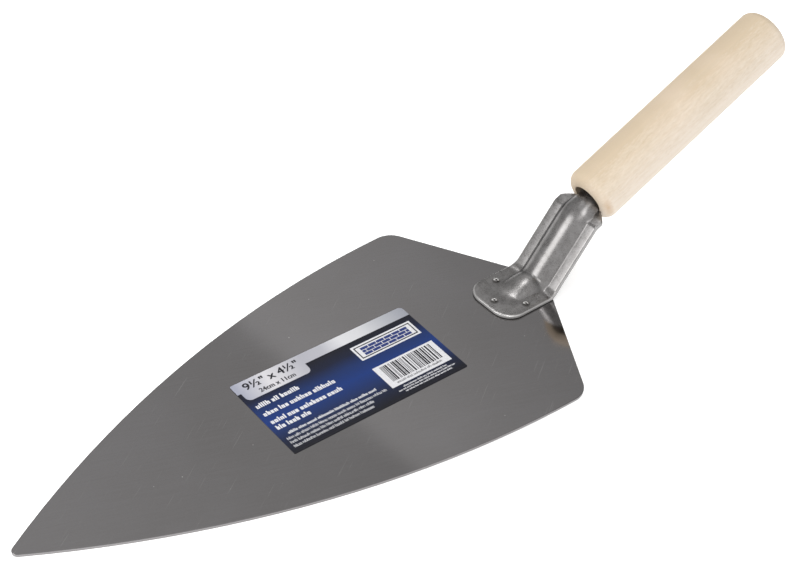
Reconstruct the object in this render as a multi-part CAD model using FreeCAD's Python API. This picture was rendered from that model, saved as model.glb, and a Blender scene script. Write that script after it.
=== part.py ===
import FreeCAD, Part
import math
import os

# Brick trowel, in millimetres: a flat pointed blade, a stamped sheet-steel shank welded onto it, a
# wooden handle pushed onto the shank's tang, and an adhesive label on the blade.
# +X points along the blade to its tip, +Y to the left and +Z up. The origin lies on the blade's
# underside, on the centre line, directly below the front weld.

# Blade
blade_length = 241.3
blade_width = 114.3
blade_thickness = 1.2
heel_setback = 34.0            # from the blade's rear end forward to its two widest corners
side_bulge = 14.0              # of a curved side, out from the straight line corner to tip
corner_radius = 9.3
tip_radius = 2.2
heel_radius = 1.0
weld_setback = 28.0            # from the blade's rear end forward to the front weld

# Welds that hold the shank's pad on the blade
weld_radius = 1.35
weld_depth = 0.6               # into the blade
weld_rise = 0.35               # ring above the pad
weld_ring_round = 0.3
weld_pit_radius = 0.7
weld_pit_depth = 0.45
weld_row_pitch = 9.0           # front weld to the rear pair, along X
weld_foot_gap = 0.35           # from the ridge's foot to a rear weld

# Shank: one stamping with a pad, a neck and a tang
sheet_thickness = 1.5
pad_width = 24.4
pad_length = 26.0              # front edge to the corner of the lower bend
pad_overhang = 4.5             # front weld to the pad's front edge
pad_corner_radius = 8.0
lower_bend_radius = 5.0        # on the top face
neck_width = 23.0
neck_length = 31.0             # between the corners of the two bends, on the top face
neck_pitch = 55.2              # degrees above the blade
width_blend = 5.0              # over which the pad's width changes to the neck's
upper_bend_radius = 2.5        # on the top face
shoulder_length = 7.3          # corner of the upper bend to the handle's front face
shoulder_taper = 4.0           # length over which the flanges narrow to the handle's face
shoulder_lip = 0.65            # flange beside the bore's rim at the handle's face

# Ridge stamped along the shank's middle
ridge_width = 13.6
ridge_height = 4.0
ridge_end_gap = 7.0            # pad's front edge back to the ridge's front end
ridge_foot_radius = 1.2

# Tang inside the handle
tang_length = 70.0
tang_flare = 12.0              # length over which the tang opens to the bore's radius
tang_drop = 1.57               # handle's axis down to the flanges' top face
tang_mouth_crown = 2.5         # top of the tang above the handle's axis at the handle's face

# Handle
handle_length = 105.0
handle_radius = 11.5
handle_pitch = 25.5            # degrees above the blade
handle_front_round = 4.2
handle_rear_round = 3.8
bore_radius = 6.35
bore_end_gap = 5.0             # tang's end to the bottom of the bore
drill_point_angle = 118.0

# Label
label_length = 80.0
label_width = 40.0
label_thickness = 0.15
label_centre = 72.3            # front weld to the label's middle, along X
label_side_shift = -0.3
label_skew = -1.5              # degrees about Z
label_corner_radius = 0.6
label_round_corner_radius = 1.8

# Derived sizes
rear_end_x = -weld_setback
pad_top_z = blade_thickness + sheet_thickness
pad_front_x = pad_overhang
lower_corner_x = pad_front_x - pad_length
ridge_end_x = pad_front_x - ridge_end_gap
cut_margin = 0.3
ridge_fade_steps = 6
ridge_circle = ((ridge_width / 2) ** 2 + ridge_height ** 2) / (2 * ridge_height)
ridge_centre = ridge_height - ridge_circle
chord_drop = tang_drop + sheet_thickness
chord_half = math.sqrt(bore_radius ** 2 - chord_drop ** 2)
mouth_rise = tang_mouth_crown + chord_drop
mouth_circle = (chord_half ** 2 + mouth_rise ** 2) / (2 * mouth_rise)
mouth_centre = tang_drop + tang_mouth_crown - mouth_circle

Y_AXIS = FreeCAD.Vector(0, 1, 0)
Z_AXIS = FreeCAD.Vector(0, 0, 1)


def vec(x, y, z=0.0):
    return FreeCAD.Vector(x, y, z)


def along(pitch, distance):
    """Step of the given length towards the handle, at a pitch in degrees."""
    angle = math.radians(pitch)
    return vec(-distance * math.cos(angle), 0, distance * math.sin(angle))


def above(pitch, distance):
    """Step of the given length square to a face at a pitch in degrees."""
    angle = math.radians(pitch)
    return vec(distance * math.sin(angle), 0, distance * math.cos(angle))


def placed(shape, point, pitch):
    """Copy of a shape made at the origin, turned to a pitch and moved to a point."""
    copy = shape.copy()
    copy.rotate(vec(0, 0), Y_AXIS, pitch)
    copy.translate(point)
    return copy


def rounded_outline(corners):
    """Closed wire of straight edges with an arc of the given radius at each corner."""
    starts = []
    edges = []
    count = len(corners)
    for index in range(count):
        point, radius = corners[index]
        before = (corners[index - 1][0] - point).normalize()
        after = (corners[(index + 1) % count][0] - point).normalize()
        half_angle = before.getAngle(after) / 2
        reach = radius / math.tan(half_angle)
        middle = (before + after).normalize() * (radius / math.sin(half_angle) - radius)
        starts.append((point + before * reach, point + middle, point + after * reach))
    for index in range(count):
        arc_start, arc_middle, arc_end = starts[index]
        edges.append(Part.Arc(arc_start, arc_middle, arc_end).toShape())
        edges.append(Part.makeLine(arc_end, starts[(index + 1) % count][0]))
    return Part.Wire(edges)


# Points of the shank's path, on the flanges' top face
lower_corner = vec(lower_corner_x, 0, pad_top_z)
lower_reach = lower_bend_radius * math.tan(math.radians(neck_pitch / 2))
lower_start = lower_corner - along(0, lower_reach)
lower_end = lower_corner + along(neck_pitch, lower_reach)
upper_corner = lower_corner + along(neck_pitch, neck_length)
upper_reach = upper_bend_radius * math.tan(math.radians((neck_pitch - handle_pitch) / 2))
upper_start = upper_corner - along(neck_pitch, upper_reach)
upper_end = upper_corner + along(handle_pitch, upper_reach)
mouth = upper_corner + along(handle_pitch, shoulder_length)
handle_front = mouth + above(handle_pitch, tang_drop)


def arched_wire(radius, centre, base):
    """Closed wire across the path: a flat base and an arc over it."""
    half = math.sqrt(radius ** 2 - (centre - base) ** 2)
    left = vec(0, -half, base)
    right = vec(0, half, base)
    arc = Part.Arc(left, vec(0, 0, centre + radius), right).toShape()
    return Part.Wire([arc, Part.makeLine(right, left)])


def along_path(section):
    """Solids of one section carried through the lower bend, the neck and the upper bend."""
    face = Part.Face(section)
    lower_centre = lower_start + above(0, lower_bend_radius)
    lower_bend = placed(face, lower_start, 0).revolve(lower_centre, Y_AXIS, neck_pitch)
    neck = placed(face, lower_end, neck_pitch).extrude(upper_start - lower_end)
    upper_centre = upper_start - above(neck_pitch, upper_bend_radius)
    upper_turn = neck_pitch - handle_pitch
    upper_bend = placed(face, upper_start, neck_pitch).revolve(upper_centre, -Y_AXIS, upper_turn)
    return [lower_bend, neck, upper_bend]


def joined(solids):
    result = solids[0].fuse(solids[1:])
    return result.removeSplitter()


def flanges():
    """Bent flat strip, trimmed to the pad's, neck's and shoulder's outline."""
    half = max(pad_width, neck_width) / 2 + 1
    section = Part.makePolygon([
        vec(0, -half, -sheet_thickness),
        vec(0, half, -sheet_thickness),
        vec(0, half, 0),
        vec(0, -half, 0),
        vec(0, -half, -sheet_thickness),
    ])
    front = vec(pad_front_x, 0, pad_top_z)
    stretches = along_path(section)
    stretches.append(placed(Part.Face(section), front, 0).extrude(lower_start - front))
    shoulder = placed(Part.Face(section), upper_end, handle_pitch)
    stretches.append(shoulder.extrude(mouth - upper_end))
    strip = joined(stretches)
    pad_half = pad_width / 2
    neck_half = neck_width / 2
    blend_start = lower_start.x
    blend_end = blend_start - width_blend
    taper_start = mouth.x + shoulder_taper * math.cos(math.radians(handle_pitch))
    past_mouth = mouth.x - 2 * sheet_thickness
    end_half = bore_radius + shoulder_lip
    side = [
        (vec(pad_front_x, pad_half), pad_corner_radius),
        (vec(blend_start, pad_half), width_blend),
        (vec(blend_end, neck_half), width_blend),
        (vec(taper_start, neck_half), sheet_thickness),
        (vec(mouth.x, end_half), sheet_thickness),
        (vec(past_mouth, end_half), sheet_thickness),
    ]
    mirrored = [(vec(point.x, -point.y), radius) for point, radius in reversed(side)]
    outline = Part.Face(rounded_outline(side + mirrored))
    prism = outline.extrude(Z_AXIS * (handle_front.z + handle_radius))
    return strip.common(prism)


def fading_section(share, inset, base):
    """Ridge's section on the pad: full height at share 0, sunk below the top face at share 1."""
    end_sink = sheet_thickness / 4
    full = ridge_height + end_sink
    height = full * (1 + math.cos(math.pi * share)) / 2 - end_sink
    depth = height + sheet_thickness
    foot = math.sqrt(ridge_circle ** 2 - (ridge_centre + sheet_thickness) ** 2)
    radius = (foot ** 2 + depth ** 2) / (2 * depth)
    wire = arched_wire(radius - inset, height - radius, base)
    reach = ridge_end_x - lower_start.x
    return placed(wire, lower_start + vec(reach * share, 0), 0)


def ridge_body(inset, extra):
    """Solid under the ridge's surface, from its front end to the handle's front face."""
    base = -sheet_thickness - extra
    section = arched_wire(ridge_circle - inset, ridge_centre, base)
    stretches = along_path(section)
    shoulder_start = placed(section, upper_end, handle_pitch)
    mouth_section = arched_wire(mouth_circle - inset, mouth_centre, base)
    shoulder_end = placed(mouth_section, mouth, handle_pitch)
    stretches.append(Part.makeLoft([shoulder_start, shoulder_end], True, True))
    steps = ridge_fade_steps
    fading = [fading_section(step / steps, inset, base - inset) for step in range(steps + 1)]
    stretches.append(Part.makeLoft(fading, True, False))
    return joined(stretches)


def tang_body(inset, extra, start, end):
    """Solid under the tang's surface, which opens from the mouth's arch to the bore's radius."""
    base = -sheet_thickness - extra
    mouth_section = arched_wire(mouth_circle - inset, mouth_centre, base)
    bore_section = arched_wire(bore_radius - inset, tang_drop, base)
    flared = mouth + along(handle_pitch, tang_flare)
    sections = [placed(mouth_section, start, handle_pitch), placed(bore_section, flared, handle_pitch)]
    flare = Part.makeLoft(sections, True, True)
    straight = Part.Face(sections[1]).extrude(end - flared)
    return [flare, straight]


def ridge_foot_edges(shank, flange_strip, ridge):
    """Edges where the ridge meets the flanges' top face, from the dome to the handle's face."""
    to_handle = along(handle_pitch, 1)
    feet = []
    for edge in shank.Edges:
        if len(edge.Vertexes) < 2:
            continue
        middle = edge.valueAt((edge.FirstParameter + edge.LastParameter) / 2)
        point = Part.Vertex(middle)
        on_flanges = point.distToShape(flange_strip.Shells[0])[0] < 0.01
        on_ridge = point.distToShape(ridge.Shells[0])[0] < 0.01
        if on_flanges and on_ridge and (mouth - middle).dot(to_handle) > 0.01:
            feet.append(edge)
    return feet


def weld_points():
    rear_x = -weld_row_pitch
    side = ridge_width / 2 + weld_foot_gap + weld_radius
    return {
        "spot_weld_front": vec(0, 0),
        "spot_weld_left": vec(rear_x, side),
        "spot_weld_right": vec(rear_x, -side),
    }


def weld_shaft(point, bottom, top):
    return Part.makeCylinder(weld_radius, top - bottom, point + vec(0, 0, bottom))


def make_weld(point):
    """Plug through the pad into the blade, with a raised ring and a pit in its middle."""
    bottom = blade_thickness - weld_depth
    top = pad_top_z + weld_rise
    plug = weld_shaft(point, bottom, top)
    rim = [edge for edge in plug.Edges if edge.BoundBox.ZMin > top - 0.01]
    plug = plug.makeFillet(weld_ring_round, rim)
    pit_bottom = point + vec(0, 0, top - weld_pit_depth)
    pit_floor = weld_pit_radius / 3
    pit = Part.makeCone(pit_floor, weld_pit_radius, weld_pit_depth, pit_bottom)
    return plug.cut(pit)


def make_blade():
    """Flat blade with two straight heel edges, two curved sides and rounded corners."""
    half_width = blade_width / 2
    corner_x = rear_end_x + heel_setback
    heel_angle = math.atan2(half_width, heel_setback)
    heel_x = rear_end_x - heel_radius * (1 / math.sin(heel_angle) - 1)
    tip_x = rear_end_x + blade_length
    for _ in range(8):
        chord = math.hypot(tip_x - corner_x, half_width)
        chord_angle = math.atan2(half_width, tip_x - corner_x)
        tip_angle = chord_angle + 2 * math.atan2(2 * side_bulge, chord)
        tip_x = rear_end_x + blade_length + tip_radius * (1 / math.sin(tip_angle) - 1)
    middle_x = (tip_x + corner_x) / 2 + side_bulge * math.sin(chord_angle)
    middle_y = half_width / 2 + side_bulge * math.cos(chord_angle)
    heel = vec(heel_x, 0)
    tip = vec(tip_x, 0)
    left = vec(corner_x, half_width)
    right = vec(corner_x, -half_width)
    outline = Part.Wire([
        Part.makeLine(heel, right),
        Part.Arc(right, vec(middle_x, -middle_y), tip).toShape(),
        Part.Arc(tip, vec(middle_x, middle_y), left).toShape(),
        Part.makeLine(left, heel),
    ])
    blade = Part.Face(outline).extrude(Z_AXIS * blade_thickness)

    def upright_edges(point):
        near = []
        for edge in blade.Edges:
            box = edge.BoundBox
            if box.ZLength > blade_thickness / 2 and (box.Center - point).Length < blade_thickness:
                near.append(edge)
        return near

    for corner, radius in ((left, corner_radius), (right, corner_radius), (tip, tip_radius),
                           (heel, heel_radius)):
        blade = blade.makeFillet(radius, upright_edges(corner))
    pocket_bottom = blade_thickness - weld_depth
    for point in weld_points().values():
        blade = blade.cut(weld_shaft(point, pocket_bottom, pad_top_z))
    return blade


def make_shank():
    """Stamped shank: flanges with a hollow ridge, and a channel-shaped tang for the handle."""
    tang_end = mouth + along(handle_pitch, tang_length)
    past_end = mouth + along(handle_pitch, tang_length + 1)
    flange_strip = flanges().Solids[0]
    ridge = ridge_body(0, 0).Solids[0]
    shank = joined([flange_strip, ridge] + tang_body(0, 0, mouth, tang_end)).Solids[0]
    feet = ridge_foot_edges(shank, flange_strip, ridge)
    shank = shank.makeFillet(ridge_foot_radius, feet)
    hollow = [ridge_body(sheet_thickness, cut_margin)]
    hollow += tang_body(sheet_thickness, cut_margin, mouth, past_end)
    shank = shank.cut(joined(hollow))
    for point in weld_points().values():
        shank = shank.cut(weld_shaft(point, 0, pad_top_z + weld_rise))
    return shank


def make_handle():
    """Round handle with rounded ends and a blind bore for the tang."""
    axis = along(handle_pitch, 1)
    handle = Part.makeCylinder(handle_radius, handle_length, handle_front, axis)
    rear = handle_front + axis * handle_length
    front_rim = []
    rear_rim = []
    for edge in handle.Edges:
        if (edge.BoundBox.Center - handle_front).Length < handle_radius / 2:
            front_rim.append(edge)
        elif (edge.BoundBox.Center - rear).Length < handle_radius / 2:
            rear_rim.append(edge)
    handle = handle.makeFillet(handle_front_round, front_rim)
    rear_rim = [
        edge for edge in handle.Edges
        if (edge.BoundBox.Center - rear).Length < handle_radius / 2 and edge.Length > handle_radius
    ]
    handle = handle.makeFillet(handle_rear_round, rear_rim)
    bore_depth = tang_length + bore_end_gap
    bore = Part.makeCylinder(bore_radius, bore_depth, handle_front, axis)
    point_length = bore_radius / math.tan(math.radians(drill_point_angle / 2))
    drill_point = Part.makeCone(bore_radius, 0, point_length, handle_front + axis * bore_depth, axis)
    return handle.cut(bore.fuse(drill_point))


def make_label():
    """Thin rectangular label with one well rounded corner, stuck on the blade's top."""
    half_length = label_length / 2
    half_width = label_width / 2
    outline = rounded_outline([
        (vec(-half_length, -half_width), label_round_corner_radius),
        (vec(half_length, -half_width), label_corner_radius),
        (vec(half_length, half_width), label_corner_radius),
        (vec(-half_length, half_width), label_corner_radius),
    ])
    label = Part.Face(outline).extrude(Z_AXIS * label_thickness)
    label.rotate(vec(0, 0), Z_AXIS, label_skew)
    label.translate(vec(label_centre, label_side_shift, blade_thickness))
    return label


def main():
    parts = {
        "blade": make_blade(),
        "shank": make_shank(),
        "handle": make_handle(),
        "label": make_label(),
    }
    for name, point in weld_points().items():
        parts[name] = make_weld(point)
    os.makedirs("parts", exist_ok=True)
    for name, shape in parts.items():
        solid = shape.Solids[0]
        solid.exportStep("parts/" + name + ".step")
        print(name, len(shape.Solids), solid.isValid(), round(solid.Volume, 1))


main()
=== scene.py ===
import logging
import math
import random
from dataclasses import dataclass, field
from enum import Enum
from typing import Any, Sequence

import bmesh
import bpy
from mathutils import Matrix, Vector, noise


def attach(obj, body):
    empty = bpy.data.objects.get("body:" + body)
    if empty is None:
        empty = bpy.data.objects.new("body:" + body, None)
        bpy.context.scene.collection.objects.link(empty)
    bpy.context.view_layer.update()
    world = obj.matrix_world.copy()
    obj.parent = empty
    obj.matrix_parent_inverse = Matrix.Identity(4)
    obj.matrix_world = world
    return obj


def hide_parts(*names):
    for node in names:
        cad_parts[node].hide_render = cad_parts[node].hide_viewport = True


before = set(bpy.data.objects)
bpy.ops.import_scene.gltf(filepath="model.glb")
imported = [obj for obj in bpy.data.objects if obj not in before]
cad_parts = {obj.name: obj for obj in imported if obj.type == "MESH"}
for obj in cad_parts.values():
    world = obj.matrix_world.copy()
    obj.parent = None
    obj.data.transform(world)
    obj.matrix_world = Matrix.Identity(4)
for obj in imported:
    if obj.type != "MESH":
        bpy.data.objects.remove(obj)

MM = 0.001
BODY = "root"
log = logging.getLogger("brick_trowel")

Colour = tuple[float, float, float]


# ---------------------------------------------------------------------------------------------
# Shader helpers


class Value:
    """A number that varies over a surface: a socket whose arithmetic adds Math nodes."""

    def __init__(self, sheet: "Sheet", socket: bpy.types.NodeSocket) -> None:
        """Wraps a socket of the given sheet."""
        self.sheet = sheet
        self.socket = socket

    def _math(self, operation: str, *values: Any, clamp: bool = False) -> "Value":
        """Adds one Math node.

        Args:
            operation: the Math node's operation.
            values: its inputs in order, as Values or numbers.
            clamp: whether the result is kept between 0 and 1.

        Returns:
            The node's result.
        """
        settings = {"operation": operation, "use_clamp": clamp}
        node = self.sheet.node("ShaderNodeMath", settings, dict(enumerate(values)))
        return Value(self.sheet, node.outputs[0])

    def __add__(self, other: Any) -> "Value":
        """Sum."""
        return self._math("ADD", self, other)

    def __radd__(self, other: Any) -> "Value":
        """Sum, with the number first."""
        return self._math("ADD", other, self)

    def __sub__(self, other: Any) -> "Value":
        """Difference."""
        return self._math("SUBTRACT", self, other)

    def __rsub__(self, other: Any) -> "Value":
        """Difference, with the number first."""
        return self._math("SUBTRACT", other, self)

    def __mul__(self, other: Any) -> "Value":
        """Product."""
        return self._math("MULTIPLY", self, other)

    def __rmul__(self, other: Any) -> "Value":
        """Product, with the number first."""
        return self._math("MULTIPLY", other, self)

    def __truediv__(self, other: Any) -> "Value":
        """Quotient."""
        return self._math("DIVIDE", self, other)

    def __pow__(self, other: Any) -> "Value":
        """Power."""
        return self._math("POWER", self, other)

    def __gt__(self, other: Any) -> "Value":
        """1 where this is the larger, and 0 elsewhere."""
        return self._math("GREATER_THAN", self, other)

    def root(self) -> "Value":
        """Square root."""
        return self._math("SQRT", self)

    def sine(self) -> "Value":
        """Sine of this angle in radians."""
        return self._math("SINE", self)

    def within(self, low: float, high: float) -> "Value":
        """Rises from 0 at low to 1 at high and stays there; high may be below low."""
        return self._math("MULTIPLY_ADD", self, 1 / (high - low), -low / (high - low), clamp=True)


class Sheet:
    """The nodes of one material or world, added by type."""

    def __init__(self, tree: bpy.types.NodeTree) -> None:
        """Starts with an empty tree."""
        self.tree = tree
        tree.nodes.clear()

    def node(self, kind: str, settings: dict[str, Any] | None = None,
             inputs: dict[Any, Any] | None = None) -> bpy.types.Node:
        """Adds a node.

        Args:
            kind: the node's type.
            settings: its properties, set first; "stops" fills a ramp with (place, colour) pairs.
            inputs: values or links of its sockets, by name or number.

        Returns:
            The new node.
        """
        node = self.tree.nodes.new(kind)
        for key, setting in (settings or {}).items():
            if key == "stops":
                self._fill_ramp(node.color_ramp, setting)
            else:
                setattr(node, key, setting)
        for key, value in (inputs or {}).items():
            source = value.socket if isinstance(value, Value) else value
            if isinstance(source, bpy.types.NodeSocket):
                self.tree.links.new(source, node.inputs[key])
            else:
                node.inputs[key].default_value = source
        return node

    @staticmethod
    def _fill_ramp(ramp: bpy.types.ColorRamp, stops: Sequence[tuple[float, Colour]]) -> None:
        """Gives a ramp its stops, in order.

        Args:
            ramp: the ramp.
            stops: its (place, colour) pairs.
        """
        while len(ramp.elements) < len(stops):
            ramp.elements.new(1.0)
        for element, (place, colour) in zip(ramp.elements, stops):
            element.position = place
            element.color = (*colour, 1.0)

    def place(self, centre: Sequence[float] = (0, 0, 0), turn: Matrix | None = None,
              stretch: Sequence[float] = (1, 1, 1)) -> bpy.types.NodeSocket:
        """Object coordinates in millimetres, moved, turned and stretched.

        Args:
            centre: the point that becomes the origin, in millimetres.
            turn: a rotation applied after the move.
            stretch: a scale along each turned axis.

        Returns:
            The vector socket.
        """
        turn = turn or Matrix.Identity(3)
        source = self.node("ShaderNodeTexCoord").outputs["Object"]
        angles = turn.to_euler()
        moved = self.node("ShaderNodeMapping", {"vector_type": "POINT"}, {
            "Vector": source,
            "Location": -(turn @ Vector(centre)),
            "Rotation": angles,
            "Scale": (1 / MM, 1 / MM, 1 / MM),
        }).outputs[0]
        return self.node("ShaderNodeVectorMath", {"operation": "MULTIPLY"},
                         {0: moved, 1: tuple(stretch)}).outputs[0]

    def painted(self, name: str) -> Value:
        """A number stored on the mesh's faces."""
        settings = {"attribute_type": "GEOMETRY", "attribute_name": name}
        return Value(self, self.node("ShaderNodeAttribute", settings).outputs["Fac"])

    def axes(self, vector: bpy.types.NodeSocket) -> tuple[Value, Value, Value]:
        """The three numbers of a vector."""
        parts = self.node("ShaderNodeSeparateXYZ", None, {0: vector}).outputs
        return Value(self, parts[0]), Value(self, parts[1]), Value(self, parts[2])

    def noise(self, vector: bpy.types.NodeSocket, scale: float, detail: float = 3.0,
              roughness: float = 0.5, distortion: float = 0.0) -> Value:
        """Soft noise around 0.5.

        Args:
            vector: the coordinates that it is read at.
            scale: waves per millimetre.
            detail: how many finer layers it has.
            roughness: how strong the finer layers are.
            distortion: how far the waves are bent.

        Returns:
            The noise.
        """
        node = self.node("ShaderNodeTexNoise", {"noise_dimensions": "3D"}, {
            "Vector": vector, "Scale": scale, "Detail": detail, "Roughness": roughness,
            "Distortion": distortion})
        return Value(self, node.outputs[0])

    def cells(self, vector: bpy.types.NodeSocket, scale: float) -> Value:
        """Distance to the nearest of scattered points.

        Args:
            vector: the coordinates that it is read at.
            scale: points per millimetre.

        Returns:
            The distance, as a share of the points' spacing.
        """
        node = self.node("ShaderNodeTexVoronoi", {"feature": "F1"}, {
            "Vector": vector, "Scale": scale, "Randomness": 1.0})
        return Value(self, node.outputs["Distance"])

    def ramp(self, factor: Value, stops: Sequence[tuple[float, Colour]]) -> bpy.types.NodeSocket:
        """Colour along a ramp."""
        return self.node("ShaderNodeValToRGB", {"stops": stops}, {0: factor}).outputs[0]

    def mix(self, factor: Any, first: Any, second: Any) -> bpy.types.NodeSocket:
        """Mix of two colours.

        Args:
            factor: the second colour's share.
            first: the first colour, or its socket.
            second: the second colour, or its socket.

        Returns:
            The mixed colour's socket.
        """
        def rgba(colour: Any) -> Any:
            """Adds alpha to a colour, and leaves a socket as it is."""
            return (*colour, 1.0) if isinstance(colour, tuple) else colour
        node = self.node("ShaderNodeMix", {"data_type": "RGBA"}, {
            0: factor, 6: rgba(first), 7: rgba(second)})
        return node.outputs[2]

    def bump(self, height: Value, depth: float, strength: float) -> bpy.types.NodeSocket:
        """Normal of a slightly uneven surface.

        Args:
            height: the height, from 0 to 1.
            depth: the millimetres that a height of 1 stands for.
            strength: how strongly it shows.

        Returns:
            The normal's socket.
        """
        node = self.node("ShaderNodeBump", None, {
            "Height": height, "Strength": strength, "Distance": depth * MM})
        return node.outputs[0]

    def surface(self, **inputs: Any) -> None:
        """Ends the tree in one Principled shader.

        Args:
            inputs: its sockets' values or links; underscores in the names stand for spaces.
        """
        named = {key.replace("_", " "): value for key, value in inputs.items()}
        for key, value in named.items():
            if isinstance(value, tuple) and len(value) == 3:
                named[key] = (*value, 1.0)
        shader = self.node("ShaderNodeBsdfPrincipled", None, named)
        self.node("ShaderNodeOutputMaterial", None, {0: shader.outputs[0]})


@dataclass(frozen=True)
class Finish:
    """What a surface looks like."""

    name: str

    def paint(self, sheet: Sheet) -> None:
        """Adds the finish's nodes to an empty sheet."""
        raise NotImplementedError

    def material(self) -> bpy.types.Material:
        """The finish as a material.

        Returns:
            The new material.
        """
        material = bpy.data.materials.new(self.name)
        material.use_nodes = True
        self.paint(Sheet(material.node_tree))
        return material


# ---------------------------------------------------------------------------------------------
# Finishes


@dataclass(frozen=True)
class RolledSteel(Finish):
    """Dark satin sheet steel with faint rolling lines, smudges, scratches and specks of dust."""

    light: Colour = (0.258, 0.250, 0.254)
    dark: Colour = (0.226, 0.217, 0.215)
    shine: float = 0.095

    def paint(self, sheet: Sheet) -> None:
        """Adds the steel's nodes.

        Args:
            sheet: the material's empty sheet.
        """
        even = sheet.place()
        rolled = sheet.place(turn=Matrix.Rotation(0.35, 3, "Z"), stretch=(0.02, 1.0, 1.0))
        crossed = sheet.place(turn=Matrix.Rotation(-0.55, 3, "Z"), stretch=(0.03, 1.0, 1.0))
        smudge = sheet.noise(even, 0.018, 3.0, 0.55, 0.4)
        lines = sheet.noise(rolled, 2.6, 3.0, 0.6)
        fine = sheet.noise(even, 1.4, 2.0, 0.6)
        scratch = sheet.noise(crossed, 1.7, 1.0, 0.5).within(0.70, 0.78)
        dust = sheet.cells(even, 0.11).within(0.035, 0.02)
        tone = (smudge * 0.50 + lines * 0.32 + fine * 0.18).within(0.33, 0.67)
        base = sheet.mix(tone, self.dark, self.light)
        base = sheet.mix(scratch * 0.34, base, (0.36, 0.355, 0.35))
        base = sheet.mix(dust * 0.5, base, (0.62, 0.62, 0.60))
        rough = self.shine + (smudge - 0.5) * 0.06 + (lines - 0.5) * 0.05 + scratch * 0.10
        height = lines * 0.6 + fine * 0.3 + scratch * 0.4
        sheet.surface(Base_Color=base, Metallic=1.0, Roughness=rough,
                      Normal=sheet.bump(height, 0.0012, 0.25))


@dataclass(frozen=True)
class StampedSteel(Finish):
    """Brighter stamped sheet steel: mottled grain, small pits and edges worn bright, with a
    painted highlight along the pad's rims, painted shadow round the welds and a painted contact
    shadow where the pad meets the blade.
    """

    light: Colour = (0.256, 0.249, 0.247)
    dark: Colour = (0.140, 0.135, 0.132)
    # colour of the worn rims, which is also a painted highlight
    worn_sheen: Colour = (0.560, 0.548, 0.540)
    shine: float = 0.29
    welds: tuple[tuple[float, float], ...] = ()

    def paint(self, sheet: Sheet) -> None:
        """Adds the steel's nodes.

        Args:
            sheet: the material's empty sheet.
        """
        even = sheet.place()
        drawn = sheet.place(turn=Matrix.Rotation(math.radians(-40), 3, "Y"),
                            stretch=(0.12, 1, 0.6))
        mottle = sheet.noise(even, 0.32, 4.0, 0.62, 0.3)
        grain = sheet.noise(even, 2.4, 3.0, 0.7)
        marks = sheet.noise(drawn, 1.1, 2.0, 0.6)
        pits = sheet.cells(even, 0.75).within(0.16, 0.05)
        tone = (mottle * 0.55 + grain * 0.32 + marks * 0.13).within(0.32, 0.66)
        base = sheet.mix(tone, self.dark, self.light)
        base = sheet.mix(pits * 0.16, base, (0.12, 0.115, 0.11))
        # heat tint round each weld with a painted shadow: a dark disc set 0.35 mm towards +X and
        # +Y, so it spreads furthest on that side
        weld_tint_and_shadow = None
        x, y, z = sheet.axes(even)
        for centre in self.welds:
            gap = ((x - centre[0] - 0.35) ** 2 + (y - centre[1] - 0.35) ** 2).root()
            ring = gap.within(2.0, 1.2)
            weld_tint_and_shadow = ring if weld_tint_and_shadow is None else weld_tint_and_shadow + ring
        if weld_tint_and_shadow is not None:
            base = sheet.mix(weld_tint_and_shadow * 0.75, base, (0.06, 0.056, 0.053))
        # painted highlight: marked rim faces take a lighter bare-steel colour with brighter
        # patches, partly edge wear and partly a painted highlight
        wear_and_sheen = sheet.painted("wear_and_sheen")
        worn_sheen_patches = wear_and_sheen * (mottle + grain).within(0.72, 1.0)
        base = sheet.mix(wear_and_sheen * 0.55 + worn_sheen_patches * 0.40, base, self.worn_sheen)
        # painted contact shadow: the lowest band of the pad's sides, where it sits on the blade,
        # turns nearly black, and the cut sides' lighter colour stops there
        joint_shadow = z.within(1.62, 1.40)
        base = sheet.mix(joint_shadow * 0.93, base, (0.012, 0.011, 0.011))
        rough = self.shine + (mottle - 0.5) * 0.12 + (grain - 0.5) * 0.16 + pits * 0.06
        cut = sheet.painted("cut")
        base = sheet.mix(cut * (1 - joint_shadow) * 0.8, base, (0.34, 0.335, 0.33))
        rough = rough - wear_and_sheen * 0.06 + cut * 0.15
        height = mottle * 0.18 + grain * 0.42 + marks * 0.25 - pits * 0.15
        sheet.surface(Base_Color=base, Metallic=1 - cut * 0.65, Roughness=rough,
                      Normal=sheet.bump(height, 0.022, 0.32))


@dataclass(frozen=True)
class WeldSteel(Finish):
    """Bare steel of one weld mark: a bright ring round a blackened pit, with painted shade on the
    side towards +X and +Y.
    """

    centre: tuple[float, float] = (0.0, 0.0)
    pit_radius: float = 0.42
    ring_radius: float = 1.12

    def paint(self, sheet: Sheet) -> None:
        """Adds the weld's nodes.

        Args:
            sheet: the material's empty sheet.
        """
        even = sheet.place(centre=(*self.centre, 0.0))
        x, y, _ = sheet.axes(even)
        gap = (x ** 2 + y ** 2).root()
        wobble = (sheet.noise(even, 1.6, 2.0) - 0.5) * 0.35
        ring = (gap + wobble * 0.5).within(self.pit_radius - 0.10, self.pit_radius + 0.12)
        outer = (gap + wobble * 0.5).within(self.ring_radius + 0.25, self.ring_radius - 0.05)
        # painted shade: the mark's side towards +X and +Y turns nearly black
        painted_side_shade = (x + y + wobble * 2).within(0.45, 1.05)
        base = sheet.mix(ring, (0.018, 0.016, 0.015), (0.80, 0.785, 0.77))
        base = sheet.mix(outer, (0.070, 0.065, 0.062), base)
        base = sheet.mix(painted_side_shade * 0.95, base, (0.018, 0.016, 0.015))
        grain = sheet.noise(even, 5.0, 3.0, 0.6)
        rough = 0.17 + (1 - ring) * 0.25 + (grain - 0.5) * 0.12
        sheet.surface(Base_Color=base, Metallic=1.0, Roughness=rough,
                      Normal=sheet.bump(grain, 0.03, 0.4))


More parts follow.
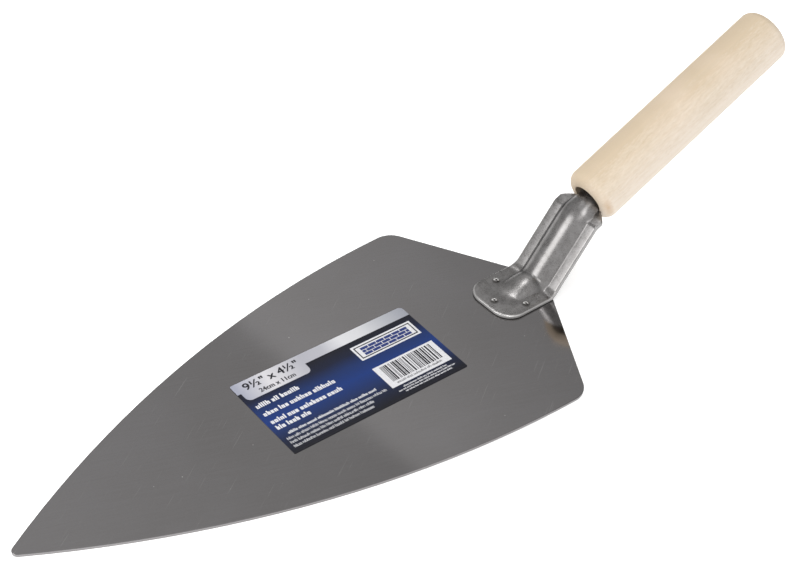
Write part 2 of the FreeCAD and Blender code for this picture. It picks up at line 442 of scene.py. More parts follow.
@dataclass(frozen=True)
class PaleWood(Finish):
    """Pale sanded hardwood with its grain along the handle and rings on the ends, painted shade
    on its top, its -Y side and inside its bore, and a stain on its front rim that is partly
    painted shade.
    """

    centre: tuple[float, float, float] = (0.0, 0.0, 0.0)
    pitch: float = 0.0
    bore: float = 6.3
    bore_depth: float = 80.0
    pale: Colour = (0.680, 0.600, 0.510)
    warm: Colour = (0.510, 0.415, 0.298)

    def paint(self, sheet: Sheet) -> None:
        """Adds the wood's nodes.

        Args:
            sheet: the material's empty sheet.
        """
        level = Matrix.Rotation(-math.radians(self.pitch), 3, "Y")
        along = sheet.place(self.centre, level)
        grain = sheet.place(self.centre, level, (0.045, 1.0, 1.0))
        fibre = sheet.place(self.centre, level, (0.22, 1.0, 1.0))
        figure = sheet.place(self.centre, level, (0.45, 1.0, 1.0))
        length, side, up = sheet.axes(along)
        broad = sheet.noise(grain, 0.20, 3.0, 0.55, 0.6)
        streaks = sheet.noise(grain, 1.0, 4.0, 0.62, 0.3)
        fibres = sheet.noise(fibre, 1.5, 4.0, 0.72)
        cloud = sheet.noise(figure, 0.22, 4.0, 0.62, 0.5)
        ring_gap = ((side - 17) ** 2 + (up + 9) ** 2).root() + (broad - 0.5) * 5
        rings = ((ring_gap * 2.6).sine() * 0.5 + 0.5) ** 2
        flecks = sheet.noise(fibre, 2.6, 1.0, 0.5).within(0.62, 0.74)
        # painted shade: the wood is darker towards the top and the -Y side of the handle
        top_side_shade = (up - side) / 40
        tone = (broad * 0.20 + streaks * 0.12 + fibres * 0.66 + cloud * 0.32 + top_side_shade)
        tone = tone.within(0.40, 0.92)
        base = sheet.mix(tone, self.pale, self.warm)
        base = sheet.mix(rings * 0.14, base, (0.60, 0.46, 0.31))
        base = sheet.mix(flecks * 0.32, base, (0.50, 0.38, 0.26))
        blotch = sheet.noise(along, 0.05, 2.0, 0.5).within(0.45, 0.75)
        base = sheet.mix(blotch * 0.16, base, (0.76, 0.64, 0.56))
        # painted shade: the bore's wall, from just inside the mouth down to its bottom, turns
        # nearly black
        radius = (side ** 2 + up ** 2).root()
        bore_shade = radius.within(self.bore + 0.35, self.bore) * length.within(0.3, -0.4)
        bore_shade = bore_shade * (length > -self.bore_depth)
        base = sheet.mix(bore_shade * 0.92, base, (0.062, 0.036, 0.018))
        # a stain that is partly painted shade: darker orange on the front rim towards +Y
        stain_and_shade_gap = (length + 1.9) ** 2 * 1.1 + (side - 10) ** 2 * 0.7 + (up - 1) ** 2 * 0.14
        stain_and_shade = (stain_and_shade_gap.root() + (streaks - 0.5) * 1.6).within(2.3, 0.3)
        base = sheet.mix(stain_and_shade * 0.62, base, (0.42, 0.26, 0.13))
        end = length.within(-3.2, -0.6)
        base = sheet.mix(end * 0.22, base, (0.56, 0.45, 0.33))
        height = streaks * 0.35 + fibres * 0.45 - flecks * 0.25
        rough = 0.60 + (fibres - 0.5) * 0.18
        sheet.surface(Base_Color=base, Roughness=rough, Specular_IOR_Level=0.35,
                      Normal=sheet.bump(height, 0.05, 0.4))


def film_waves(sheet: Sheet, even: bpy.types.NodeSocket) -> bpy.types.NodeSocket:
    """The slight waviness of the label's film, as a normal."""
    return sheet.bump(sheet.noise(even, 0.25, 2.0), 0.02, 0.2)


class Ink(Enum):
    """Plain inks of the label, as their colour and roughness."""

    WHITE = ((0.64, 0.64, 0.66), 0.34)
    BLACK = ((0.008, 0.008, 0.012), 0.36)
    BLUE = ((0.020, 0.035, 0.150), 0.34)


@dataclass(frozen=True)
class PrintedInk(Finish):
    """One flat ink on the label, with the faint unevenness of print on film."""

    ink: Ink = Ink.WHITE

    def paint(self, sheet: Sheet) -> None:
        """Adds the ink's nodes.

        Args:
            sheet: the material's empty sheet.
        """
        colour, rough = self.ink.value
        even = sheet.place()
        cloud = sheet.noise(even, 1.5, 3.0, 0.6)
        worn = tuple(part * 0.86 for part in colour)
        base = sheet.mix(cloud.within(0.35, 0.7), colour, worn)
        sheet.surface(Base_Color=base, Roughness=rough + (cloud - 0.5) * 0.1,
                      Specular_IOR_Level=0.26,
                      Normal=film_waves(sheet, even))


@dataclass(frozen=True)
class LabelPanel(Finish):
    """Deep blue printed panel, nearly black along its top and bottom."""

    frame_place: tuple[float, float, float] = (0.0, 0.0, 0.0)
    skew: float = 0.0
    length: float = 80.0
    width: float = 40.0

    def _across(self, sheet: Sheet) -> tuple[Value, Value]:
        """Places on the label.

        Args:
            sheet: the material's sheet.

        Returns:
            Millimetres from the label's left edge, and from its top edge.
        """
        turn = Matrix.Rotation(-math.radians(self.skew), 3, "Z")
        x, y, _ = sheet.axes(sheet.place(self.frame_place, turn))
        return self.length / 2 - x, y + self.width / 2

    def paint(self, sheet: Sheet) -> None:
        """Adds the panel's nodes.

        Args:
            sheet: the material's empty sheet.
        """
        _, down = self._across(sheet)
        even = sheet.place()
        cloud = sheet.noise(even, 0.06, 2.0, 0.5)
        shade = (down + (cloud - 0.5) * 1.5) / self.width
        base = sheet.ramp(shade, (
            (0.15, (0.003, 0.003, 0.008)), (0.27, (0.003, 0.006, 0.024)),
            (0.40, (0.004, 0.020, 0.098)), (0.55, (0.003, 0.026, 0.150)),
            (0.70, (0.005, 0.019, 0.090)), (0.84, (0.003, 0.007, 0.028)),
            (0.97, (0.002, 0.002, 0.006))))
        grain = sheet.noise(even, 2.5, 2.0, 0.6)
        base = sheet.mix(grain.within(0.45, 0.75) * 0.25, base, (0.012, 0.018, 0.040))
        sheet.surface(Base_Color=base, Roughness=0.34 + (grain - 0.5) * 0.08,
                      Specular_IOR_Level=0.26,
                      Normal=film_waves(sheet, even))


@dataclass(frozen=True)
class LabelFoil(LabelPanel):
    """Silver printed band with soft bright patches along it, which are a painted sheen."""

    def paint(self, sheet: Sheet) -> None:
        """Adds the band's nodes.

        Args:
            sheet: the material's empty sheet.
        """
        across, _ = self._across(sheet)
        even = sheet.place()
        cloud = sheet.noise(even, 0.12, 2.0, 0.5)
        # painted sheen: the band's colour lightens in soft patches along its length
        base = sheet.ramp((across + (cloud - 0.5) * 3) / self.length, (
            (0.01, (0.30, 0.31, 0.38)), (0.18, (0.57, 0.56, 0.58)), (0.38, (0.37, 0.37, 0.41)),
            (0.50, (0.40, 0.40, 0.44)), (0.61, (0.60, 0.60, 0.62)), (0.72, (0.56, 0.56, 0.58)),
            (0.87, (0.38, 0.39, 0.42)), (0.99, (0.28, 0.29, 0.33))))
        grain = sheet.noise(even, 3.0, 2.0, 0.6)
        sheet.surface(Base_Color=base, Metallic=0.15, Roughness=0.36 + (grain - 0.5) * 0.1,
                      Normal=film_waves(sheet, even))


@dataclass(frozen=True)
class StudioPaper(Finish):
    """Pale seamless floor."""

    colour: Colour = (0.93, 0.93, 0.93)

    def paint(self, sheet: Sheet) -> None:
        """Adds the floor's nodes.

        Args:
            sheet: the material's empty sheet.
        """
        fibre = sheet.noise(sheet.place(), 0.02, 2.0, 0.5)
        shade = tuple(part * 0.985 for part in self.colour)
        base = sheet.mix(fibre, self.colour, shade)
        sheet.surface(Base_Color=base, Roughness=0.9, Specular_IOR_Level=0.1,
                      Emission_Color=(1.0, 1.0, 1.0), Emission_Strength=0.36)


# ---------------------------------------------------------------------------------------------
# Pieces


def add_object(name: str, data: bpy.types.ID) -> bpy.types.Object:
    """Makes an object and links it to the scene.

    Args:
        name: the object's name.
        data: its mesh, text, light or camera.

    Returns:
        The new object.
    """
    made = bpy.data.objects.new(name, data)
    bpy.context.scene.collection.objects.link(made)
    return made


def show_piece(name: str, mesh_source: bmesh.types.BMesh, finishes: Sequence[Finish], node: str,
               crease: float = 30.0) -> bpy.types.Object:
    """Makes a finished piece from a bmesh in millimetres and hands it to the frame.

    Args:
        name: the piece's name.
        mesh_source: its shape; it is freed.
        finishes: its finishes, in the order of its faces' material numbers.
        node: the CAD node that it stands for.
        crease: edges sharper than this many degrees stay sharp.

    Returns:
        The new object, at the origin.
    """
    bmesh.ops.transform(mesh_source, matrix=Matrix.Scale(MM, 4), verts=mesh_source.verts)
    mesh = bpy.data.meshes.new(name)
    mesh_source.to_mesh(mesh)
    mesh_source.free()
    for polygon in mesh.polygons:
        polygon.use_smooth = True
    mesh.set_sharp_from_angle(angle=math.radians(crease))
    piece = add_object(name, mesh)
    for finish in finishes:
        mesh.materials.append(finish.material())
    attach(piece, BODY)
    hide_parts(node)
    log.info("%s: %d faces", name, len(mesh.polygons))
    return piece


def smooth_step(share: float) -> float:
    """Eases from 0 to 1."""
    share = min(max(share, 0.0), 1.0)
    return share * share * (3 - 2 * share)


@dataclass
class Blade:
    """The flat pointed plate: the frame's own outline, with its rim eased."""

    rim: float = 0.22
    finish: Finish = field(default_factory=lambda: RolledSteel("blade_steel"))

    def build(self) -> bpy.types.Object:
        """Makes the plate from a merged copy of its CAD shape.

        Returns:
            The plate.
        """
        shape = bmesh.new()
        shape.from_mesh(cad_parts["blade"].data)
        bmesh.ops.transform(shape, matrix=Matrix.Scale(1 / MM, 4), verts=shape.verts)
        bmesh.ops.remove_doubles(shape, verts=shape.verts, dist=0.001)
        bmesh.ops.dissolve_limit(shape, angle_limit=math.radians(0.5), verts=shape.verts,
                                 edges=shape.edges)
        edges = [edge for edge in shape.edges
                 if len(edge.link_faces) == 2 and edge.calc_face_angle(0) > math.radians(60)
                 and edge.verts[0].co.to_2d().length > 20]
        bmesh.ops.bevel(shape, geom=edges, offset=self.rim, segments=3, profile=0.5,
                        affect="EDGES", material=-1, clamp_overlap=True)
        return show_piece("blade_plate", shape, [self.finish], "blade", 12.0)


@dataclass
class Shank:
    """The stamped shank: pad, neck, shoulder and the channel that goes into the handle."""

    sheet: float = 1.5
    pad_top: float = 2.7
    front: float = 4.5
    pad_half: float = 12.2
    corner: float = 8.0
    neck_half: float = 11.5
    lower_corner: float = -21.5
    lower_bend: float = 5.0
    neck_length: float = 31.0
    neck_pitch: float = 55.2
    upper_bend: float = 2.5
    shoulder: float = 7.3
    handle_pitch: float = 25.5
    taper: float = 4.0
    end_half: float = 7.0
    ridge_half: float = 6.8
    ridge_height: float = 4.0
    ridge_front: float = -2.5
    nose_sink: float = 0.4
    nose_flatness: float = 0.50
    mouth_half: float = 5.6
    tang_drop: float = 1.57
    tang_radius: float = 6.3
    tang_spread: float = 119.0
    tang_step: float = 9.6
    flare: float = 12.0
    foot: float = 0.45
    neck_foot: float = 0.8
    wing_lift: float = 3.0
    crown_bend: float = 24.0
    top_rim: float = 0.75
    under_rim: float = 0.15
    corner_steps: int = 12
    pad_steps: int = 24
    lower_bend_steps: int = 12
    neck_steps: int = 40
    upper_bend_steps: int = 8
    shoulder_steps: int = 12
    flare_steps: int = 6
    wing_steps: int = 8
    ridge_steps: int = 12
    mouth_trim: int = 5
    finish: Finish = field(default_factory=lambda: StampedSteel("shank_steel"))

    def _along(self, pitch: float, distance: float) -> Vector:
        """A step towards the handle at a pitch."""
        angle = math.radians(pitch)
        return Vector((-distance * math.cos(angle), 0, distance * math.sin(angle)))

    def _above(self, pitch: float, distance: float) -> Vector:
        """A step square to a face at a pitch."""
        angle = math.radians(pitch)
        return Vector((distance * math.sin(angle), 0, distance * math.cos(angle)))

    def landmarks(self) -> dict[str, Vector]:
        """The path's own points, on the top face.

        Returns:
            The points, by name.
        """
        lower = Vector((self.lower_corner, 0, self.pad_top))
        lower_reach = self.lower_bend * math.tan(math.radians(self.neck_pitch / 2))
        upper = lower + self._along(self.neck_pitch, self.neck_length)
        turn = self.neck_pitch - self.handle_pitch
        upper_reach = self.upper_bend * math.tan(math.radians(turn / 2))
        mouth = upper + self._along(self.handle_pitch, self.shoulder)
        return {
            "lower_start": lower - self._along(0, lower_reach),
            "lower_end": lower + self._along(self.neck_pitch, lower_reach),
            "upper_start": upper - self._along(self.neck_pitch, upper_reach),
            "upper_end": upper + self._along(self.handle_pitch, upper_reach),
            "mouth": mouth,
            "handle_front": mouth + self._above(self.handle_pitch, self.tang_drop),
        }

    def stations(self) -> list[tuple[Vector, float]]:
        """Points along the path with the pitch at each, from the pad's front to the mouth.

        Returns:
            The points, each with its pitch in degrees.
        """
        marks = self.landmarks()
        path: list[tuple[Vector, float]] = []
        for step in range(self.corner_steps + 1):
            angle = math.radians(90 - step * 90 / self.corner_steps)
            x = self.front - self.corner * (1 - math.sin(angle))
            path.append((Vector((x, 0, self.pad_top)), 0.0))
        start = path[-1][0].x
        for step in range(1, self.pad_steps + 1):
            x = start + (marks["lower_start"].x - start) * step / self.pad_steps
            path.append((Vector((x, 0, self.pad_top)), 0.0))
        centre = marks["lower_start"] + self._above(0, self.lower_bend)
        for step in range(1, self.lower_bend_steps + 1):
            pitch = self.neck_pitch * step / self.lower_bend_steps
            path.append((centre - self._above(pitch, self.lower_bend), pitch))
        for step in range(1, self.neck_steps + 1):
            point = marks["lower_end"].lerp(marks["upper_start"], step / self.neck_steps)
            path.append((point, self.neck_pitch))
        centre = marks["upper_start"] - self._above(self.neck_pitch, self.upper_bend)
        turn = self.handle_pitch - self.neck_pitch
        for step in range(1, self.upper_bend_steps + 1):
            pitch = self.neck_pitch + turn * step / self.upper_bend_steps
            path.append((centre + self._above(pitch, self.upper_bend), pitch))
        for step in range(1, self.shoulder_steps + 1):
            point = marks["upper_end"].lerp(marks["mouth"], step / self.shoulder_steps)
            path.append((point, self.handle_pitch))
        return path

    def half_width(self, point: Vector, pitch: float) -> float:
        """Half the flanges' width at a point of the path.

        Args:
            point: a point of the path.
            pitch: the path's pitch there, in degrees.

        Returns:
            The half width.
        """
        marks = self.landmarks()
        corner_start = self.front - self.corner
        if point.x > corner_start:
            share = min((point.x - corner_start) / self.corner, 1.0)
            return self.pad_half - self.corner + self.corner * math.sqrt(max(1 - share ** 2, 0.0))
        blend = smooth_step((marks["lower_start"].x - point.x) / 5.0)
        half = self.pad_half + (self.neck_half - self.pad_half) * blend
        left = (marks["mouth"] - point).length
        if pitch <= self.handle_pitch + 0.01 and point.z > marks["upper_start"].z:
            if left < self.taper:
                share = 1 - left / self.taper
                half = self.neck_half - (self.neck_half - self.end_half) * share ** 1.25
        return half

    def ridge(self, point: Vector, pitch: float) -> tuple[float, float]:
        """The ridge's half width and height at a point of the path.

        Args:
            point: a point of the path.
            pitch: the path's pitch there, in degrees.

        Returns:
            The half width and the height.
        """
        marks = self.landmarks()
        height = self.ridge_height
        half = self.ridge_half
        start = marks["lower_start"].x
        if point.x > start:
            share = (point.x - start) / (self.ridge_front - start)
            wave = (1 + math.cos(math.pi * min(share, 1.0))) / 2
            height = (self.ridge_height + self.nose_sink) * wave - self.nose_sink
        height -= self.crown_drop(point, pitch)
        end = marks["upper_end"]
        if point.z > end.z:
            share = (point - end).length / (marks["mouth"] - end).length
            half += (self.mouth_half - half) * smooth_step(share)
        return half, height

    def crown_drop(self, point: Vector, pitch: float) -> float:
        """How far the crown lies below a tight bend, near the neck's upper bend.

        Args:
            point: a point of the path.
            pitch: the path's pitch there, in degrees.

        Returns:
            The drop.
        """
        marks = self.landmarks()
        if point.z < marks["lower_end"].z + 1:
            return 0.0
        half_turn = math.radians(self.neck_pitch - self.handle_pitch) / 2
        tight = self.upper_bend + self.ridge_height
        off = abs(math.radians(pitch - (self.neck_pitch + self.handle_pitch) / 2))
        gap = tight * math.tan(min(off, half_turn))
        if off > half_turn - 0.001:
            gap += min((point - marks["upper_start"]).length, (point - marks["upper_end"]).length)
        wide_reach = max(self.crown_bend * math.tan(half_turn) - gap, 0.0)
        tight_reach = max(tight * math.tan(half_turn) - gap, 0.0)
        return wide_reach ** 2 / (2 * self.crown_bend) - tight_reach ** 2 / (2 * tight)

    def lift(self, pitch: float) -> float:
        """Slope of the flanges across the stamping: none on the pad, upwards on the neck."""
        return math.tan(math.radians(self.wing_lift)) * smooth_step(pitch / self.neck_pitch * 2)

    def fillet(self, pitch: float) -> float:
        """Height over which the ridge's foot is eased: little on the pad, more on the neck."""
        return self.foot + (self.neck_foot - self.foot) * smooth_step(pitch / self.neck_pitch * 2)

    def flatness(self, point: Vector) -> float:
        """How far the ridge's arch is flattened: most at its nose, not at all on the neck."""
        start = self.landmarks()["lower_start"].x
        return self.nose_flatness * smooth_step((point.x - start + 4) / 9)

    def section(self, half: float, ridge_half: float, height: float, slope: float,
                flat: float, foot: float) -> list[tuple[float, float]]:
        """Points across the top face, as side and rise.

        Args:
            half: half the flanges' width.
            ridge_half: half the ridge's width.
            height: the ridge's height.
            slope: the flanges' slope.
            flat: how far the ridge's arch is flattened, from 0 to 1.
            foot: the height over which the ridge's foot is eased.

        Returns:
            The points, from the left edge to the right.
        """
        outer = min(ridge_half + 1.2, half * 0.84)
        inner = min(ridge_half - 1.2, half * 0.6)
        sides: list[float] = []
        wing, ridge = self.wing_steps, self.ridge_steps
        sides += [half + (outer - half) * step / wing for step in range(wing)]
        sides += [outer + (inner - outer) * step / ridge for step in range(ridge)]
        sides += [inner * (1 - step / ridge) for step in range(ridge + 1)]
        depth = height + self.sheet
        wide = ridge_half + 0.64
        radius = (wide ** 2 + depth ** 2) / (2 * depth)
        centre = height - radius
        points = []
        for side in sides:
            arch = centre + math.sqrt(max(radius ** 2 - side ** 2, 0.0))
            blunt = depth * (1 - (side / wide) ** 3) - self.sheet
            arch += (blunt - arch) * flat
            if height < 0.01 - self.nose_sink:
                arch = -foot
            gap = max(foot - abs(arch), 0.0)
            raised = max(side - ridge_half - 0.6, 0.0) * slope
            points.append((side, max(arch, 0.0) + gap * gap / (4 * foot) + raised))
        return points + [(-side, rise) for side, rise in reversed(points[:-1])]

    def build(self) -> bpy.types.Object:
        """Makes the stamping by carrying its section along the path.

        Returns:
            The stamping.
        """
        shape = bmesh.new()
        path = self.stations()
        rows = []
        for point, pitch in path:
            half = self.half_width(point, pitch)
            ridge_half, height = self.ridge(point, pitch)
            up = self._above(pitch, 1)
            rows.append([point + Vector((0, side, 0)) + up * rise
                         for side, rise in self.section(half, ridge_half, height,
                                                        self.lift(pitch),
                                                        self.flatness(point),
                                                        self.fillet(pitch))])
        row = [shape.verts.new(place) for place in rows[0]]
        edges = [shape.edges.new(pair) for pair in zip(row, row[1:])]
        for places in rows[1:]:
            edges, row = self._carry(shape, edges, row, places)
        first = self.wing_steps + self.mouth_trim
        row = row[first:len(row) - first]
        edges = [edge for edge in edges if edge.verts[0] in row and edge.verts[1] in row]
        marks = self.landmarks()
        up = self._above(self.handle_pitch, 1)
        mouth = [vert.co.copy() for vert in row]
        widest = math.radians(self.tang_spread)
        for step in range(1, 2 * self.flare_steps + 1):
            reach = self.flare * min(step, self.flare_steps) / self.flare_steps
            reach += max(step - self.flare_steps, 0) * self.tang_step
            share = smooth_step(reach / self.flare)
            ahead = self._along(self.handle_pitch, reach)
            places = []
            for index, start in enumerate(mouth):
                angle = widest * (1 - 2 * index / (len(mouth) - 1))
                target = marks["handle_front"] + up * (self.tang_radius * math.cos(angle))
                target = target + Vector((0, self.tang_radius * math.sin(angle), 0))
                places.append(start.lerp(target, share) + ahead)
            edges, row = self._carry(shape, edges, row, places)
        bmesh.ops.recalc_face_normals(shape, faces=shape.faces)
        if sum(face.normal.z * face.calc_area() for face in shape.faces) < 0:
            bmesh.ops.reverse_faces(shape, faces=shape.faces)
        bmesh.ops.solidify(shape, geom=shape.faces[:], thickness=self.sheet)
        bmesh.ops.recalc_face_normals(shape, faces=shape.faces)
        bmesh.ops.dissolve_limit(shape, angle_limit=math.radians(0.2), verts=shape.verts,
                                 edges=shape.edges)
        lean = Vector((0.45, 0.0, 0.89))
        wear_and_sheen = shape.faces.layers.float.new("wear_and_sheen")
        cut = shape.faces.layers.float.new("cut")
        for face in shape.faces:
            is_side = abs(face.normal.z) < 0.25 and face.calc_center_median().z < self.pad_top
            face[cut] = 1.0 if is_side or abs(face.normal.y) > 0.93 else 0.0
        for is_top, offset in ((True, self.top_rim), (False, self.under_rim)):
            rims = [edge for edge in shape.edges
                    if len(edge.link_faces) == 2 and edge.calc_face_angle(0) > math.radians(65)
                    and (max(face.normal.dot(lean) for face in edge.link_faces) > 0.6) == is_top]
            rim = bmesh.ops.bevel(shape, geom=rims, offset=offset, segments=4, profile=0.5,
                                  affect="EDGES", material=-1, clamp_overlap=False)
            shape.normal_update()
            # painted highlight: pad rim faces leaning 25 to 65 degrees are marked fully and other
            # rim faces a little, for the lighter colour in the steel's finish
            for face in rim["faces"]:
                tilt = math.degrees(face.normal.angle(Vector((0, 0, 1)), math.pi))
                on_pad = face.calc_center_median().z < self.pad_top + 0.1
                face[wear_and_sheen] = (1.0 if 25 < tilt < 65 else 0.15) if on_pad else 0.2
        bmesh.ops.dissolve_degenerate(shape, dist=0.002, edges=shape.edges)
        return show_piece("shank_stamping", shape, [self.finish], "shank", 50.0)

    @staticmethod
    def _carry(shape: bmesh.types.BMesh, edges: list[bmesh.types.BMEdge],
               row: list[bmesh.types.BMVert], places: Sequence[Vector],
               ) -> tuple[list[bmesh.types.BMEdge], list[bmesh.types.BMVert]]:
        """Extrudes a row of edges to the next row's places.

        Args:
            shape: the bmesh.
            edges: the row's edges.
            row: its vertices in order.
            places: where the new vertices go, in the same order.

        Returns:
            The new row's edges and its vertices in order.
        """
        made = bmesh.ops.extrude_edge_only(shape, edges=edges)["geom"]
        verts = {item for item in made if isinstance(item, bmesh.types.BMVert)}
        new_row = [next(edge.other_vert(old) for edge in old.link_edges
                        if edge.other_vert(old) in verts) for old in row]
        for vert, place in zip(new_row, places):
            vert.co = place
        lookup = set(new_row)
        new_edges = [item for item in made if isinstance(item, bmesh.types.BMEdge)
                     and item.verts[0] in lookup and item.verts[1] in lookup]
        return new_edges, new_row


@dataclass
class SpotWelds:
    """The three raised weld marks on the pad."""

    top: float = 2.7
    radius: float = 1.35
    rise: float = 0.35
    sides: int = 40
    places: dict[str, tuple[float, float]] = field(default_factory=lambda: {
        "spot_weld_front": (0.0, 0.0),
        "spot_weld_left": (-9.0, 8.5),
        "spot_weld_right": (-9.0, -8.5),
    })

    def _profile(self) -> list[tuple[float, float]]:
        """Half of the mark's section, as radius and height above the pad.

        Returns:
            The section's points, from the axis below to the axis above.
        """
        return [(0.0, -2.0), (self.radius, -2.0), (self.radius, 0.0), (1.31, 0.07),
                (1.22, 0.15), (1.08, 0.23), (0.90, 0.30), (0.70, 0.34), (0.52, self.rise),
                (0.38, 0.30), (0.27, 0.20), (0.15, 0.12), (0.0, 0.10)]

    def build(self) -> list[bpy.types.Object]:
        """Turns each mark about its own centre.

        Returns:
            The three marks.
        """
        pieces = []
        for index, (node, (x, y)) in enumerate(self.places.items()):
            rng = random.Random(31 + index)
            shape = bmesh.new()
            verts = [shape.verts.new((x + radius, y, self.top + height))
                     for radius, height in self._profile()]
            edges = [shape.edges.new(pair) for pair in zip(verts, verts[1:])]
            bmesh.ops.spin(shape, geom=verts + edges, cent=(x, y, 0), axis=(0, 0, 1),
                           angle=math.tau, steps=self.sides, use_merge=True)
            bmesh.ops.remove_doubles(shape, verts=shape.verts, dist=0.001)
            shift = Vector((rng.uniform(-9, 9), rng.uniform(-9, 9), 0))
            for vert in shape.verts:
                if vert.co.z > self.top - 0.2:
                    wave = noise.noise(vert.co * 1.3 + shift)
                    vert.co.z -= abs(wave) * 0.08
            bmesh.ops.recalc_face_normals(shape, faces=shape.faces)
            finish = WeldSteel(f"weld_steel_{index}", (x, y))
            pieces.append(show_piece(f"weld_mark_{index}", shape, [finish], node,
                                     60))
        return pieces


@dataclass
class Handle:
    """The round wooden handle, with its bore for the tang."""

    front: Vector
    pitch: float = 25.5
    length: float = 105.0
    radius: float = 11.5
    front_round: float = 4.2
    rear_round: float = 3.8
    bore: float = 6.35
    bore_depth: float = 75.0
    bore_ease: float = 0.35
    sides: int = 128

    def build(self) -> bpy.types.Object:
        """Turns the handle about its axis and rounds its edges.

        Returns:
            The handle.
        """
        shape = bmesh.new()
        profile = [(self.bore_depth, 0.0), (self.bore_depth, self.bore), (0.0, self.bore),
                   (0.0, self.radius), (self.length, self.radius), (self.length, 0.0)]
        verts = [shape.verts.new((-along, 0, radius)) for along, radius in profile]
        edges = [shape.edges.new(pair) for pair in zip(verts, verts[1:])]
        bmesh.ops.spin(shape, geom=verts + edges, cent=(0, 0, 0), axis=(1, 0, 0),
                       angle=math.tau, steps=self.sides, use_merge=True)
        bmesh.ops.remove_doubles(shape, verts=shape.verts, dist=0.001)
        bmesh.ops.recalc_face_normals(shape, faces=shape.faces)
        self._round(shape, 0.0, self.radius, self.front_round, 12)
        self._round(shape, -self.length, self.radius, self.rear_round, 12)
        self._round(shape, 0.0, self.bore, self.bore_ease, 3)
        turn = Matrix.Rotation(math.radians(self.pitch), 4, "Y")
        place = Matrix.Translation(self.front) @ turn
        bmesh.ops.transform(shape, matrix=place, verts=shape.verts)
        finish = PaleWood("handle_wood", tuple(self.front), self.pitch)
        return show_piece("handle_grip", shape, [finish], "handle", 35.0)

    @staticmethod
    def _round(shape: bmesh.types.BMesh, x: float, radius: float, amount: float,
               segments: int) -> None:
        """Rounds the circle of edges at a place along the axis.

        Args:
            shape: the handle, still level.
            x: the circle's place.
            radius: the circle's radius.
            amount: how far the rounding reaches.
            segments: its number of steps.
        """
        ring = [edge for edge in shape.edges
                if all(abs(vert.co.x - x) < 0.01
                       and abs(math.hypot(vert.co.y, vert.co.z) - radius) < 0.02
                       for vert in edge.verts)]
        bmesh.ops.bevel(shape, geom=ring, offset=amount, segments=segments, profile=0.5,
                        affect="EDGES", material=-1, clamp_overlap=True)


class Stroke(Enum):
    """Shapes of the strokes that stand in for small print."""

    STEM = 0
    TALL = 1
    ARCH = 2
    OPEN_TOP = 3
    ROUND = 4


